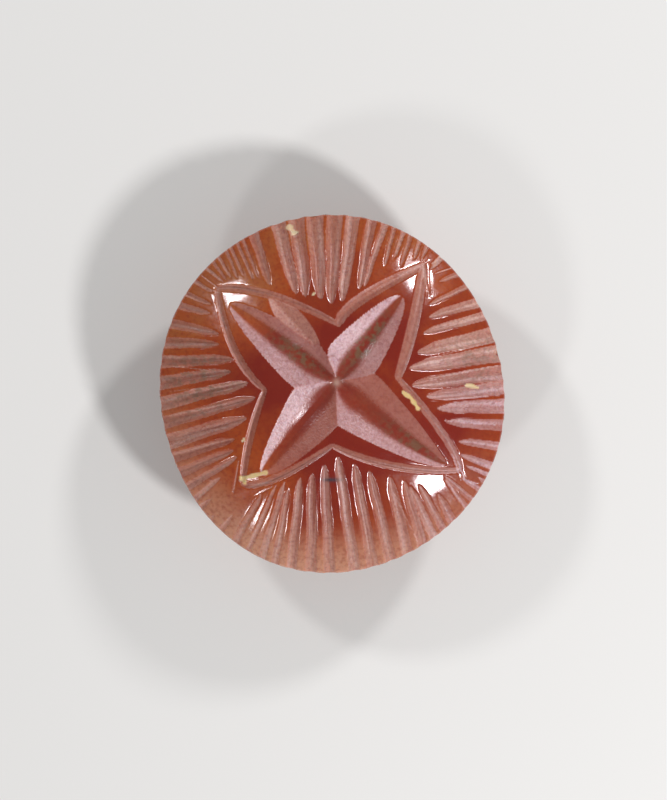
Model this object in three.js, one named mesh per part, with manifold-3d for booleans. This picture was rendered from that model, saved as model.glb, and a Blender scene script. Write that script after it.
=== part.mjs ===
// A carved stone seal: one lens-shaped pebble of carnelian, bored across for a string, with a four-petalled
// star cut into its domed face. Millimetres, +Z up. The seal lies on its back with the carved face up, and the
// origin is at the middle of the small flat that it rests on.
import * as THREE from 'three';
import { mergeVertices } from 'three/addons/utils/BufferGeometryUtils.js';
import Module from 'manifold-3d';

const wasm = await Module();
wasm.setup();

// The stone's outline, seen from the carved face: a circle with three gentle swellings. A bearing is in
// degrees, counted from +X towards +Y, and a swelling has its first crest there.
const MEAN_RADIUS = 8.81;
const OVAL = { lobes: 2, height: 0.185, bearing: 101 };
const TRIANGLE = { lobes: 3, height: 0.034, bearing: 3 };
const SQUARE = { lobes: 4, height: 0.061, bearing: 69 };

// The stone in profile, from the back up
const REST_FLAT_DIAMETER = 4.6;
const BACK_DEPTH = 3.4;
const GIRDLE_HEIGHT = 0.8;
const GIRDLE_BULGE = 0.15;
const FACE_RISE = 2.7;

// The string hole, drilled from both sides until the two bores met
const HOLE_MOUTH_DIAMETER = 1.9;
const HOLE_WAIST_DIAMETER = 1.3;
const HOLE_TO_GIRDLE_GAP = 0.15;
const DRILL_OVERRUN = 1;

// The star: petals and the points between them, counted round from the upper right one. A petal's wall has its
// width, the share of the length at which it is widest, and how bluntly it closes to the tip.
const STAR_CENTRE = new THREE.Vector2(0.28, 0.62);
const PETAL_DEPTH = 0.6;
const PETAL_DEPTH_AT_CENTRE = 0.34;
const PETAL_FLOOR_WIDTH = 0.26;
const PETAL_OVERLAP = 0.3;
const PETALS = [
  { bearing: 52.7, length: 5.3, left: [1.38, 0.29, 0.5], right: [1.3, 0.3, 0.45], valley: 0.03 },
  { bearing: 144.3, length: 6.55, left: [1.55, 0.29, 0.58], right: [1.05, 0.42, 0.5], valley: 0.05 },
  { bearing: 230.5, length: 5.9, left: [1.46, 0.34, 0.42], right: [1.46, 0.29, 0.6], valley: -0.05 },
  { bearing: 322.7, length: 6.85, left: [1.45, 0.25, 0.72], right: [1.78, 0.23, 0.55], valley: -0.28 },
];

// A second, shallower wheel stroke that widens the upper left petal beside its base
const SIDE_STROKE = { bearing: 132, start: 1.6, length: 3.9, width: 0.62, depth: 0.3, offset: -0.35 };

// The double border: from a point beyond each petal's tip, one arc runs down each side of the petal to the
// crotch between it and its neighbour. An arc has the share of its length where it bulges, and by how much.
const BORDER_DEPTH = 0.15;
const BORDER_FLOOR_SHARE = 0.35;
const BORDERS = [
  { tipGap: 1.9, swing: 0.5, width: 0.6, left: [0.88, 0.8], right: [0.57, 0.3] },
  { tipGap: 1.0, swing: -1.9, width: 0.42, left: [0.63, 1.05], right: [0.32, 0.88] },
  { tipGap: 1.05, swing: -3, width: 0.4, left: [0.2, 0.75], right: [0.46, 0.36] },
  { tipGap: 0.7, swing: 1.3, width: 0.42, left: [0.2, 0.6], right: [0.53, 0.83] },
];
const CROTCHES = [
  { bearing: 88.5, reach: 2.8 },
  { bearing: 187, reach: 3.6 },
  { bearing: 265.5, reach: 3.2 },
  { bearing: 3, reach: 3 },
];

// The rays: straight wheel cuts from the border out over the rim, as the carver spaced them by eye. Each one
// has its bearing at the rim, how far it leans from the radius in degrees, its width at the rim, and the gap
// that it leaves to the border.
const RAY_DEPTH_SHARE = 0.34;
const RAY_FLOOR_SHARE = 0.45;
const RAY_INNER_WIDTH_SHARE = 0.65;
const RAY_POINT_SHARE = 1.3;
const RAY_OVERRUN = 0.6;
const LONGEST_LOOSE_RAY = 2.4;
const UPPER_RAYS = [
  [57, 8.5, 0.3, 0.1], [60, 11, 0.25, 0.25], [63.5, 9, 0.25, 0.15], [66, 3.5, 0.25, 1.0],
  [69.5, 7.5, 0.25, 0.7], [72.5, -1, 0.35, 0.25], [77, 3, 0.5, 0.25], [83, -0.5, 0.65, 0.3],
  [89, -1, 0.75, 0.6], [95.5, -1, 0.8, 0.6], [101.5, -4, 0.75, 0.4], [107.5, -3, 0.7, 0.35],
  [116, -8, 0.5, 0.35], [120, -8, 0.2, 0.6], [122, -9, 0.2, 0.4], [124.5, -11, 0.2, 0.5],
  [126.5, -13, 0.2, 0.3], [129.5, -10, 0.2, 0.3], [132, -5, 0.2, 0.2], [135, 5, 0.2, 0.1],
];
const LEFT_RAYS = [
  [140.5, 5.5, 0.25, 0.05], [145.5, 11, 0.3, 0.25], [150, 15, 0.4, 0.4], [156.5, 11.5, 0.5, 0.25],
  [163, 15, 0.55, 0.4], [169.5, 12.5, 0.6, 0.05], [176.5, 12.5, 0.65, 0.5], [183.5, 10, 0.65, 0.1],
  [190, 5.5, 0.6, 0.15], [196.5, 0.5, 0.75, 0.25], [202, -5, 0.5, 0.6], [207.5, -4.5, 0.5, 0.6],
  [213, -1.5, 0.4, 0.35], [217.5, 1.5, 0.35, 1.3],
];
const LOWER_RAYS = [
  [221, 0, 0.35, 1.9], [226, 1, 0.35, 1.9], [231, 2, 0.35, 1.6], [237, 4, 0.4, 0.5],
  [242, 4.5, 0.3, 0.2], [247, 6, 0.4, 0.25], [251.5, 8, 0.4, 0.65], [257, 7, 0.5, 0.4],
  [263.5, 6, 0.55, 0.5], [269.5, 3.5, 0.55, 0.45], [277.5, 1, 0.55, 0.2], [283.5, -3, 0.55, 0.25],
  [289.5, -6, 0.55, 0.35], [295.5, -12, 0.55, 0.4], [301, -14.5, 0.5, 0.5], [305.5, -10, 0.45, 0.8],
  [309.5, -10, 0.4, 0.7], [313.5, -14.5, 0.5, 1.1], [320, -11.5, 0.3, 0.25], [323, -3, 0.3, 0.1],
  [327, -1, 0.3, 0.3],
];
const RIGHT_RAYS = [
  [330, -5, 0.25, 0.9], [332.5, 3.5, 0.25, 0.2], [335.5, 3, 0.4, 0.05], [342.5, 10, 0.45, 0.35],
  [349.5, 7, 0.55, 0.35], [356, 6, 0.7, 0.4], [2, 4.5, 0.65, 0.35], [7, 1, 0.75, 0.1],
  [13.5, -4, 0.8, 0.1], [20, -7, 0.75, 0.25], [27, -11, 0.45, 0.35], [32, -15, 0.5, 0.45],
  [38.5, -11.5, 0.3, 0.4], [43.5, -20, 0.3, 0.7], [51, -6, 0.35, 0.1],
];

// How finely the round forms are divided
const STEPS_ROUND_STONE = 48;
const STEPS_ROUND_HOLE = 20;
const FACE_RINGS = 5;
const BACK_RINGS = 6;
const GIRDLE_RINGS = 3;
const BORDER_STATIONS = 7;
const RAY_STATIONS = 4;
const PETAL_STATIONS = [0, 0.06, 0.14, 0.22, 0.3, 0.42, 0.55, 0.68, 0.8, 0.9, 0.96, 1];

// A cutting tool's lid is this far over the stone's top, its walls run on past the face by the overshoot, and
// its ends stand clear of the face by the lift, so that every stroke comes out of the stone cleanly.
const LID_CLEARANCE = 1;
const WALL_OVERSHOOT = 0.25;
const END_LIFT = 0.03;
const LEAST_WIDTH = 0.03;
const MESH_TOLERANCE = 0.003;

const GIRDLE_MIDDLE = BACK_DEPTH + GIRDLE_HEIGHT / 2;
const FACE_EDGE_RADIUS = MEAN_RADIUS - GIRDLE_BULGE;
const FACE_EDGE_HEIGHT = BACK_DEPTH + GIRDLE_HEIGHT;
const STONE_HEIGHT = FACE_EDGE_HEIGHT + FACE_RISE;
const LID_HEIGHT = STONE_HEIGHT + LID_CLEARANCE;

const radians = THREE.MathUtils.degToRad;

function heading(degrees) {
  return new THREE.Vector2(Math.cos(radians(degrees)), Math.sin(radians(degrees)));
}

// The stone's radius at an angle in radians
function outline(angle) {
  let radius = MEAN_RADIUS;
  for (const swell of [OVAL, TRIANGLE, SQUARE]) {
    radius += swell.height * Math.cos(swell.lobes * (angle - radians(swell.bearing)));
  }
  return radius;
}

// Height of a spherical cap over its edge, for a cap of the given edge radius and rise
function capHeight(radius, edgeRadius, rise) {
  const sphere = (edgeRadius ** 2 + rise ** 2) / (2 * rise);
  return Math.sqrt(Math.max(sphere ** 2 - radius ** 2, 0)) - (sphere - rise);
}

// Height of the uncut face over a point of the plan
function faceHeight(point) {
  const roundRadius = point.length() * MEAN_RADIUS / outline(Math.atan2(point.y, point.x));
  return FACE_EDGE_HEIGHT + capHeight(roundRadius, FACE_EDGE_RADIUS, FACE_RISE);
}

// Half of the stone's profile, from the rest flat's middle, up round the girdle, to the top of the face
function stoneProfile() {
  const profile = [new THREE.Vector2(0, 0)];
  const flatRadius = REST_FLAT_DIAMETER / 2;
  const backSlope = (FACE_EDGE_RADIUS - flatRadius) / BACK_RINGS;
  const backCap = (radius) => {
    const drop = capHeight(radius, FACE_EDGE_RADIUS, BACK_DEPTH);
    const flatDrop = capHeight(flatRadius, FACE_EDGE_RADIUS, BACK_DEPTH);
    return BACK_DEPTH * (1 - drop / flatDrop);
  };
  for (let ring = 0; ring <= BACK_RINGS; ring++) {
    const radius = flatRadius + ring * backSlope;
    profile.push(new THREE.Vector2(radius, backCap(radius)));
  }
  for (let ring = 1; ring <= GIRDLE_RINGS; ring++) {
    const turn = Math.PI * ring / (GIRDLE_RINGS + 1);
    const radius = FACE_EDGE_RADIUS + GIRDLE_BULGE * Math.sin(turn);
    profile.push(new THREE.Vector2(radius, GIRDLE_MIDDLE - GIRDLE_HEIGHT / 2 * Math.cos(turn)));
  }
  for (let ring = FACE_RINGS; ring > 0; ring--) {
    const radius = FACE_EDGE_RADIUS * ring / FACE_RINGS;
    const height = FACE_EDGE_HEIGHT + capHeight(radius, FACE_EDGE_RADIUS, FACE_RISE);
    profile.push(new THREE.Vector2(radius, height));
  }
  profile.push(new THREE.Vector2(0, STONE_HEIGHT));
  return profile;
}

// The uncut pebble: its profile turned round, then pulled out or in to the outline
function stoneBlank() {
  const blank = new THREE.LatheGeometry(stoneProfile(), STEPS_ROUND_STONE).rotateX(Math.PI / 2);
  const place = blank.attributes.position;
  for (let i = 0; i < place.count; i++) {
    const stretch = outline(Math.atan2(place.getY(i), place.getX(i))) / MEAN_RADIUS;
    place.setX(i, place.getX(i) * stretch);
    place.setY(i, place.getY(i) * stretch);
  }
  return blank;
}

// The drill's path through the stone along X: two cones whose narrow ends meet in the middle
function stringHole() {
  const halfLength = MEAN_RADIUS + DRILL_OVERRUN;
  const mouth = HOLE_MOUTH_DIAMETER / 2;
  const waist = HOLE_WAIST_DIAMETER / 2;
  const flare = mouth + (mouth - waist) * DRILL_OVERRUN / MEAN_RADIUS;
  const profile = [
    new THREE.Vector2(0, -halfLength),
    new THREE.Vector2(flare, -halfLength),
    new THREE.Vector2(waist, 0),
    new THREE.Vector2(flare, halfLength),
    new THREE.Vector2(0, halfLength),
  ];
  const bore = new THREE.LatheGeometry(profile, STEPS_ROUND_HOLE).rotateZ(Math.PI / 2);
  return bore.translate(0, 0, GIRDLE_MIDDLE - HOLE_TO_GIRDLE_GAP - mouth);
}

// A closed solid that follows a route in plan, for the stroke of a cutting wheel. At each share of the route,
// size() gives the stroke's width to the left and the right, the width of its flat floor, and its depth.
function wheelStroke(route, shares, size) {
  const corners = [];
  for (const share of shares) {
    const middle = route.getPoint(share);
    const along = route.getTangent(share);
    const across = new THREE.Vector2(-along.y, along.x);
    const { left, right, floor, depth } = size(share);
    const at = (offset) => middle.clone().addScaledVector(across, offset);
    const side = (width, sign) => {
      const edge = Math.max(width, LEAST_WIDTH);
      const foot = Math.min(floor / 2, edge / 2);
      const footPoint = at(sign * foot);
      const footHeight = faceHeight(footPoint) - depth;
      const slope = (faceHeight(at(sign * edge)) - footHeight) / (edge - foot);
      const outer = edge + WALL_OVERSHOOT;
      const outerPoint = at(sign * outer);
      return [
        [outerPoint.x, outerPoint.y, LID_HEIGHT],
        [outerPoint.x, outerPoint.y, footHeight + slope * (outer - foot)],
        [footPoint.x, footPoint.y, footHeight],
      ];
    };
    corners.push(...side(left, 1), ...side(right, -1).reverse());
  }
  return strokeGeometry(corners, shares.length);
}

// Skins the stroke's cross-sections, six corners each, and closes both ends
function strokeGeometry(corners, stationCount) {
  const sides = corners.length / stationCount;
  const faces = [];
  for (let station = 0; station + 1 < stationCount; station++) {
    for (let side = 0; side < sides; side++) {
      const a = station * sides + side;
      const b = station * sides + (side + 1) % sides;
      faces.push(a, a + sides, b, b, a + sides, b + sides);
    }
  }
  const last = (stationCount - 1) * sides;
  for (let side = 1; side + 1 < sides; side++) {
    faces.push(0, side, side + 1, last, last + side + 1, last + side);
  }
  const geometry = new THREE.BufferGeometry();
  geometry.setAttribute('position', new THREE.Float32BufferAttribute(corners.flat(), 3));
  geometry.setIndex(faces);
  return geometry;
}

// A petal's width on one side: it flares from the centre to its widest place and closes in a curve to the tip
function petalWidth(share, [width, widest, closing]) {
  if (share < widest) return width * Math.sin(Math.PI / 2 * share / widest);
  return width * ((1 - share) / (1 - widest)) ** closing;
}

function petalStroke(petal) {
  const aim = heading(petal.bearing);
  const across = new THREE.Vector2(-aim.y, aim.x);
  const start = STAR_CENTRE.clone().addScaledVector(aim, -PETAL_OVERLAP);
  const tip = STAR_CENTRE.clone().addScaledVector(aim, petal.length);
  const bend = start.clone().lerp(tip, 0.5).addScaledVector(across, 2 * petal.valley);
  const route = new THREE.QuadraticBezierCurve(start, bend, tip);
  const widest = (petal.left[1] + petal.right[1]) / 2;
  return wheelStroke(route, PETAL_STATIONS, (share) => {
    const rising = PETAL_DEPTH_AT_CENTRE + (PETAL_DEPTH - PETAL_DEPTH_AT_CENTRE) * share / widest;
    const closing = PETAL_DEPTH * ((1 - share) / (1 - widest)) ** 0.6;
    const valley = petal.valley * 4 * share * (1 - share);
    return {
      left: petalWidth(share, petal.left) - valley,
      right: petalWidth(share, petal.right) + valley,
      floor: PETAL_FLOOR_WIDTH,
      depth: Math.min(rising, closing) - END_LIFT * share,
    };
  });
}

function sideStroke() {
  const aim = heading(SIDE_STROKE.bearing);
  const across = new THREE.Vector2(-aim.y, aim.x);
  const base = STAR_CENTRE.clone().addScaledVector(across, SIDE_STROKE.offset);
  const start = base.clone().addScaledVector(aim, SIDE_STROKE.start);
  const end = base.clone().addScaledVector(aim, SIDE_STROKE.start + SIDE_STROKE.length);
  return wheelStroke(new THREE.LineCurve(start, end), [0, 0.15, 0.35, 0.6, 0.85, 1], (share) => {
    const swell = Math.sin(Math.PI * share) ** 0.6;
    const half = SIDE_STROKE.width * swell;
    return { left: half, right: half, floor: 0, depth: SIDE_STROKE.depth * swell - END_LIFT };
  });
}

// The border's arcs: for each petal, one to the crotch on its left and one to the crotch on its right
function borderRoutes() {
  return PETALS.flatMap((petal, i) => {
    const border = BORDERS[i];
    const aim = heading(petal.bearing + border.swing);
    const tip = STAR_CENTRE.clone().addScaledVector(aim, petal.length + border.tipGap);
    return [['left', CROTCHES[i], -1], ['right', CROTCHES.at(i - 1), 1]].map(([side, crotch, outward]) => {
      const [bulgeAt, bulge] = border[side];
      const foot = STAR_CENTRE.clone().addScaledVector(heading(crotch.bearing), crotch.reach);
      const along = foot.clone().sub(tip).normalize();
      const across = new THREE.Vector2(-along.y, along.x);
      const bend = tip.clone().lerp(foot, bulgeAt).addScaledVector(across, outward * bulge);
      return { route: new THREE.QuadraticBezierCurve(tip, bend, foot), width: border.width };
    });
  });
}

function borderStroke({ route, width }) {
  const shares = Array.from({ length: BORDER_STATIONS }, (_, i) => i / (BORDER_STATIONS - 1));
  return wheelStroke(route, shares, (share) => {
    const swell = Math.sin(Math.PI * share) ** 0.4;
    const half = width / 2 * (0.5 + 0.5 * swell);
    return { left: half, right: half, floor: width * BORDER_FLOOR_SHARE, depth: BORDER_DEPTH * swell - END_LIFT };
  });
}

// How far a ray can run in from the rim before it meets the border
function runToBorder(rimPoint, aim, borders) {
  const step = 0.05;
  for (let run = 0; run < MEAN_RADIUS; run += step) {
    const here = rimPoint.clone().addScaledVector(aim, -run);
    const near = borders.some(({ points, width }) => {
      return points.some((point) => point.distanceTo(here) < width / 2);
    });
    if (near) return run;
  }
  return LONGEST_LOOSE_RAY;
}

function rayStroke([bearing, lean, width, gap], borders) {
  const rimPoint = heading(bearing).multiplyScalar(outline(radians(bearing)));
  const aim = heading(bearing + lean);
  const run = runToBorder(rimPoint, aim, borders);
  const inner = rimPoint.clone().addScaledVector(aim, gap - run);
  const outer = rimPoint.clone().addScaledVector(aim, RAY_OVERRUN);
  const route = new THREE.LineCurve(inner, outer);
  const point = Math.min(RAY_POINT_SHARE * width / route.getLength(), 0.5);
  const shares = [0, point / 2];
  for (let i = 0; i < RAY_STATIONS; i++) shares.push(point + (1 - point) * i / (RAY_STATIONS - 1));
  return wheelStroke(route, shares, (share) => {
    const opening = Math.sqrt(Math.min(share / point, 1));
    const spread = RAY_INNER_WIDTH_SHARE + (1 - RAY_INNER_WIDTH_SHARE) * share;
    const half = width / 2 * spread * opening;
    return {
      left: half,
      right: half,
      floor: 2 * half * RAY_FLOOR_SHARE,
      depth: width * RAY_DEPTH_SHARE * opening * spread - (share ? 0 : END_LIFT),
    };
  });
}

// A closed surface as a solid that can be cut
function solidOf(geometry) {
  const bare = geometry.clone();
  bare.deleteAttribute('normal');
  bare.deleteAttribute('uv');
  const merged = mergeVertices(bare);
  const corners = merged.index.array;
  const triVerts = [];
  for (let i = 0; i < corners.length; i += 3) {
    const [a, b, c] = corners.slice(i, i + 3);
    if (a !== b && b !== c && c !== a) triVerts.push(a, b, c);
  }
  return new wasm.Manifold(new wasm.Mesh({
    numProp: 3,
    tolerance: MESH_TOLERANCE,
    vertProperties: merged.attributes.position.array,
    triVerts: new Uint32Array(triVerts),
  }));
}

function geometryOf(solid) {
  const mesh = solid.getMesh();
  const geometry = new THREE.BufferGeometry();
  geometry.setAttribute('position', new THREE.BufferAttribute(mesh.vertProperties, 3));
  geometry.setIndex(new THREE.BufferAttribute(mesh.triVerts, 1));
  geometry.computeVertexNormals();
  return geometry;
}

// The whole carving, cut into the blank in the carver's order: border, rays, petals, and last the string hole
function carvedStone() {
  const routes = borderRoutes();
  const borders = routes.map(({ route, width }) => ({ points: route.getPoints(60), width }));
  const rays = [...UPPER_RAYS, ...LEFT_RAYS, ...LOWER_RAYS, ...RIGHT_RAYS];
  const tools = [
    ...routes.map(borderStroke),
    ...rays.map((ray) => rayStroke(ray, borders)),
    sideStroke(),
    ...PETALS.map(petalStroke),
    stringHole(),
  ];
  let stone = solidOf(stoneBlank());
  for (const tool of tools) stone = stone.subtract(solidOf(tool));
  return geometryOf(stone);
}

const carnelian = new THREE.MeshStandardMaterial({ color: 0x9a3d24, roughness: 0.3, metalness: 0 });

const seal = new THREE.Group();
const stone = new THREE.Mesh(carvedStone(), carnelian);
stone.name = 'seal_stone';
seal.add(stone);

export default seal;
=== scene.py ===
# %% [markdown]
# # A carved carnelian stamp seal
# One pebble of red-orange carnelian, 17 to 18 mm wide and shaped like a thick lens. Its domed face is cut
# with a four-petalled star, a curved border that follows it, and seventy straight rays that run out over
# the rim. A hole for a string crosses the stone from side to side.

# %% Load the measured model
import math

import bpy
import numpy as np
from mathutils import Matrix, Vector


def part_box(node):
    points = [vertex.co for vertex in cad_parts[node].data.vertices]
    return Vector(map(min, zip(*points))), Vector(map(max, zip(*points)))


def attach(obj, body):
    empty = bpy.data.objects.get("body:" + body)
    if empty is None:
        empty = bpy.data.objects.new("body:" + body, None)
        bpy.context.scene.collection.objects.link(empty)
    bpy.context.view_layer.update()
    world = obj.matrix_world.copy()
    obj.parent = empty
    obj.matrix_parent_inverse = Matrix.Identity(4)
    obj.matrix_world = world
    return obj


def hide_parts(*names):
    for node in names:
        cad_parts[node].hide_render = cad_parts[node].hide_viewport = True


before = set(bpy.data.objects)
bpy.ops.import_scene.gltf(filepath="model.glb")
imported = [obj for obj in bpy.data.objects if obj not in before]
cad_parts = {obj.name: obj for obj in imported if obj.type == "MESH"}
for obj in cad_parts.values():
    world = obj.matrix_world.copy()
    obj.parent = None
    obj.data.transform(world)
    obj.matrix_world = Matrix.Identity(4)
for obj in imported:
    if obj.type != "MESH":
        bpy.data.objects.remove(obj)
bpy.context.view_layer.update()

# %% [markdown]
# ## Sizes
# The stone's box comes from the measured model. Its outline isn't a true circle, so half of the box's mean
# width is a little more than the mean radius. All numbers are in millimetres, and become metres only when
# they enter the scene. The stone lies on its back: the rest flat is at height 0, the face looks up.

# %% Sizes of the stone
MM = 0.001
BOX_OVER_MEAN_RADIUS = 0.006
stone_low, stone_high = [np.array(corner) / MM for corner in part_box("seal_stone")]
MEAN_RADIUS = (stone_high - stone_low)[:2].mean() / 2 - BOX_OVER_MEAN_RADIUS
BACK_DEPTH = 3.4
GIRDLE_HEIGHT = 0.8
GIRDLE_BULGE = 0.15
GIRDLE_MIDDLE = BACK_DEPTH + GIRDLE_HEIGHT / 2
FLAT_RADIUS = 2.3
EDGE_RADIUS = MEAN_RADIUS - GIRDLE_BULGE
EDGE_HEIGHT = BACK_DEPTH + GIRDLE_HEIGHT
FACE_RISE = 2.7
print("mean radius %.2f mm, height %.2f mm" % (MEAN_RADIUS, stone_high[2]))

# %% [markdown]
# ## Camera
# The seal is seen from straight above through a long lens, which keeps the round stone round. The field is
# 40 mm tall, and the camera aims a little below the stone's middle.

# %% Camera
FIELD_HEIGHT = 40.0
CAMERA_DISTANCE = 200.0
SENSOR_HEIGHT = 36.0
PICTURE_WIDTH = 667
PICTURE_HEIGHT = 800
AIM = (0.10, -0.32)
NEAREST_SEEN = 10

camera_data = bpy.data.cameras.new("camera")
camera_data.sensor_fit = "VERTICAL"
camera_data.sensor_height = SENSOR_HEIGHT
camera_data.sensor_width = SENSOR_HEIGHT * PICTURE_WIDTH / PICTURE_HEIGHT
camera_data.lens = SENSOR_HEIGHT * CAMERA_DISTANCE / FIELD_HEIGHT
camera_data.clip_start = NEAREST_SEEN * MM
camera = bpy.data.objects.new("camera", camera_data)
camera.location = (AIM[0] * MM, AIM[1] * MM, (CAMERA_DISTANCE + EDGE_HEIGHT) * MM)
bpy.context.collection.objects.link(camera)
bpy.context.scene.camera = camera
bpy.context.scene.view_settings.view_transform = "Standard"
print("lens %.0f mm, camera %.0f mm up" % (camera_data.lens, camera.location.z / MM))

# %% [markdown]
# ## Softboxes
# A polished stone shows its lamps as small white glints, and its ground strokes turn pale where they face a
# lamp. Four round softboxes stand on the diagonals, because the star's walls face that way. A lamp's numbers
# are its bearing round the stone, its tilt from straight above and its power in watts.

# %% Softboxes
LAMP_DISTANCE = 150
LAMP_SIZE = 19
LAMPS = {
    "lower_right": (-41, 53, 0.152),
    "upper_right": (52, 61, 0.098),
    "upper_left": (137, 56, 0.066),
    "lower_left": (237, 57, 0.047),
}

for name, (bearing, tilt, watts) in LAMPS.items():
    lamp_data = bpy.data.lights.new("softbox_" + name, "AREA")
    lamp_data.shape = "DISK"
    lamp_data.size = LAMP_SIZE * MM
    lamp_data.energy = watts
    lamp = bpy.data.objects.new("softbox_" + name, lamp_data)
    lean = math.radians(tilt)
    turn = math.radians(bearing)
    out = math.sin(lean) * LAMP_DISTANCE * MM
    up = math.cos(lean) * LAMP_DISTANCE * MM
    lamp.location = (out * math.cos(turn), out * math.sin(turn), up + EDGE_HEIGHT * MM)
    lamp.rotation_euler = (0, lean, turn)
    bpy.context.collection.objects.link(lamp)
print("lamps:", len(LAMPS))

# %% [markdown]
# ## World
# A dim, even grey from all round keeps the shadows open. In a view from the side the backdrop has to look
# about as light as the table, so the world is brighter for the camera's own rays alone.

# %% World
WORLD_GREY = 0.2
BACKDROP_GREY = 0.84

world = bpy.data.worlds.new("studio")
world.use_nodes = True
bpy.context.scene.world = world
glow = world.node_tree.nodes["Background"]
light_path = world.node_tree.nodes.new("ShaderNodeLightPath")
grey = world.node_tree.nodes.new("ShaderNodeMapRange")
grey.inputs["To Min"].default_value = WORLD_GREY
grey.inputs["To Max"].default_value = BACKDROP_GREY
world.node_tree.links.new(light_path.outputs["Is Camera Ray"], grey.inputs["Value"])
world.node_tree.links.new(grey.outputs["Result"], glow.inputs["Strength"])
glow.inputs["Color"].default_value = (1, 1, 1, 1)
print("world nodes:", len(world.node_tree.nodes))

# %% [markdown]
# ## Floor
# The stone lies on a plain pale table top. It only has to catch the shadow, so one large square is enough.

# %% Floor
FLOOR_HALF = 1500
FLOOR_COLOUR = (0.72, 0.71, 0.70, 1)
FLOOR_ROUGHNESS = 0.8

half = FLOOR_HALF * MM
floor_mesh = bpy.data.meshes.new("floor")
floor_corners = [(-half, -half, 0), (half, -half, 0), (half, half, 0), (-half, half, 0)]
floor_mesh.from_pydata(floor_corners, [], [(0, 1, 2, 3)])
floor = bpy.data.objects.new("floor", floor_mesh)
bpy.context.collection.objects.link(floor)
floor_paint = bpy.data.materials.new("pale_table")
floor_paint.use_nodes = True
paint = floor_paint.node_tree.nodes["Principled BSDF"]
paint.inputs["Base Color"].default_value = FLOOR_COLOUR
paint.inputs["Roughness"].default_value = FLOOR_ROUGHNESS
floor_mesh.materials.append(floor_paint)
print("floor side", 2 * FLOOR_HALF, "mm")

# %% [markdown]
# ## The plain pebble
# Seen from above the outline swells gently in two, three and four places. A cosine round the circle says
# each in one line: its lobes, their height and the bearing of one crest. In profile the pebble is a shallow
# dome over a thin rounded girdle and a deeper dome that ends in a small flat.

# %% Outline and profile
SWELLINGS = {"oval": (2, 0.185, 101), "triangle": (3, 0.034, 3), "square": (4, 0.061, 69)}


def outline(turn):
    """The stone's radius at an angle in radians."""
    radius = np.full_like(np.asarray(turn, dtype=float), MEAN_RADIUS)
    for lobes, height, crest in SWELLINGS.values():
        radius = radius + height * np.cos(lobes * (turn - math.radians(crest)))
    return radius


def cap_height(radius, edge, rise):
    """Height of a round cap over its own edge."""
    ball = (edge ** 2 + rise ** 2) / (2 * rise)
    return np.sqrt(np.maximum(ball ** 2 - radius ** 2, 0)) - (ball - rise)


def face_height(radius):
    """Height of the uncut dome."""
    return EDGE_HEIGHT + cap_height(radius, EDGE_RADIUS, FACE_RISE)


def back_height(radius):
    """Height of the underside, 0 at the edge of the rest flat."""
    at_flat = cap_height(FLAT_RADIUS, EDGE_RADIUS, BACK_DEPTH)
    return BACK_DEPTH * (1 - cap_height(radius, EDGE_RADIUS, BACK_DEPTH) / at_flat)


all_round = outline(np.linspace(0, 2 * np.pi, 361))
print("outline radius from %.2f to %.2f mm" % (all_round.min(), all_round.max()))

# %% [markdown]
# ## The wheel's strokes
# Every line on the face is a stroke of a small grinding wheel: a depth under the face, positive inside it
# and falling gently below zero outside it. To cut one stroke into another is to take the deeper of the two,
# and a very small blend rounds the ridge, as the last polish does. More than a hundred Boolean cutters
# would leave a rougher mesh than one formula.

# %% Cutting helpers
RIDGE_SOFTNESS = 0.02
OUTER_SLOPE = 0.5


def cut(depth, stroke, softness=RIDGE_SOFTNESS):
    """The deeper of two cuts, with the ridge between them rounded off."""
    near = np.clip(softness - np.abs(depth - stroke), 0, None) / softness
    return np.maximum(depth, stroke) + near ** 2 * softness / 4


def shallower(first, second, softness):
    """The lesser of two values, joined by a soft bend."""
    return -cut(-first, -second, softness)


def with_outside(inside, away, half):
    """A stroke's depth up to half its width, and the gentle fall below zero outside it."""
    return np.where(away < half, inside, (half - away) * OUTER_SLOPE)


print("ridges are rounded over", RIDGE_SOFTNESS, "mm")

# %% [markdown]
# ## Directions and shares
# A stroke is easiest to describe along its own line, so a point's place is turned into a way along the line
# and a way to its left. Bearings are in degrees, counter-clockwise from the right of the picture.

# %% Measuring helpers
def heading(bearing):
    """The direction of a bearing, one unit long."""
    return np.array([math.cos(math.radians(bearing)), math.sin(math.radians(bearing))])


def leftward(aim):
    """The direction a quarter turn to the left."""
    return np.array([-aim[1], aim[0]])


def along_and_across(x, y, start, bearing):
    """A point's way along a line and its way to the line's left."""
    aim = heading(bearing)
    right, up = x - start[0], y - start[1]
    return right * aim[0] + up * aim[1], up * aim[0] - right * aim[1]


def smooth_step(value, low, high):
    """0 up to the low value, 1 from the high value on, and a soft rise between."""
    share = np.clip((value - low) / (high - low), 0, 1)
    return share * share * (3 - 2 * share)


def rise_to_one(start, share):
    """A factor that goes from start to 1 while share goes from 0 to 1."""
    return start + (1 - start) * share


print("straight up is", heading(90).round(3))
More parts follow.
